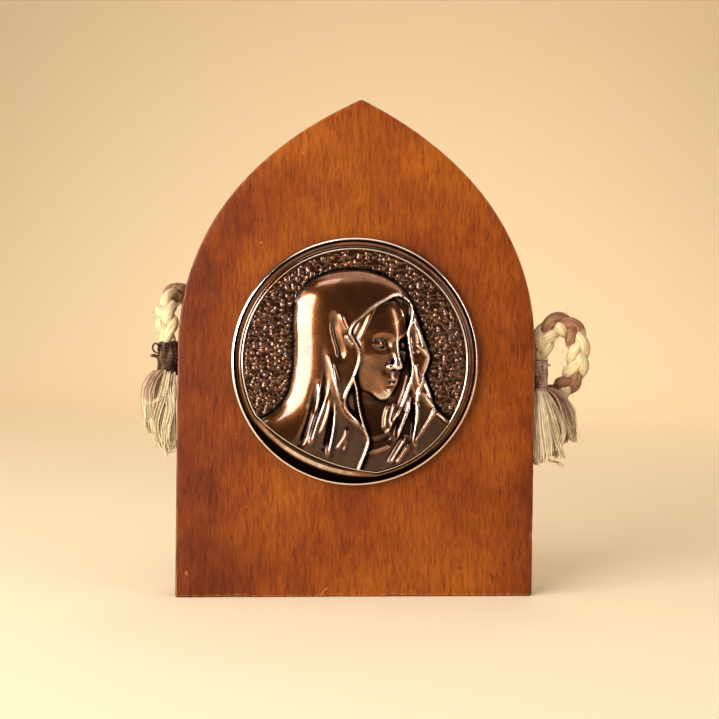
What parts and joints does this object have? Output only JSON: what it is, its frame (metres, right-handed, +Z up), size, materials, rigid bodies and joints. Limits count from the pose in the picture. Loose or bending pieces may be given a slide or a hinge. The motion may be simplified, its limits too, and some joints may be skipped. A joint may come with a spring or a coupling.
{
  "type": "religious relief plaque",
  "caption": "Lancet-shaped wooden board with a round cast medallion, a veiled bust in relief, and a braided cord with tasselled ends.",
  "frame": {"origin": "middle of the board's underside, on the surface that the plaque stands on", "axes": "+Z up to the board's point, +Y out of the back, so the medallion faces -Y; +X to the right seen from the front"},
  "size_m": [0.1503, 0.0335, 0.1665],
  "materials": {
    "stained_hardwood": "reddish-brown stain under a thin satin varnish, fine upright grain and pores",
    "cast_bronze": "cast bronze colour, dark patina in the recesses, rubbed bright on the high parts",
    "sisal_braid": "three-strand braid of cream and mauve-brown plant fibre, matt",
    "sisal_fibre": "loose combed plant fibre, cream with mauve-brown wisps, matt",
    "brown_twine": "thin brown twine wound in close turns, matt"
  },
  "bodies": {
    "root": {"board": "stained_hardwood", "medallion": "cast_bronze", "hanging_cord": "sisal_braid", "left_whipping": "brown_twine", "right_whipping": "brown_twine", "left_tassel": "sisal_fibre", "right_tassel": "sisal_fibre"}
  },
  "joints": []
}
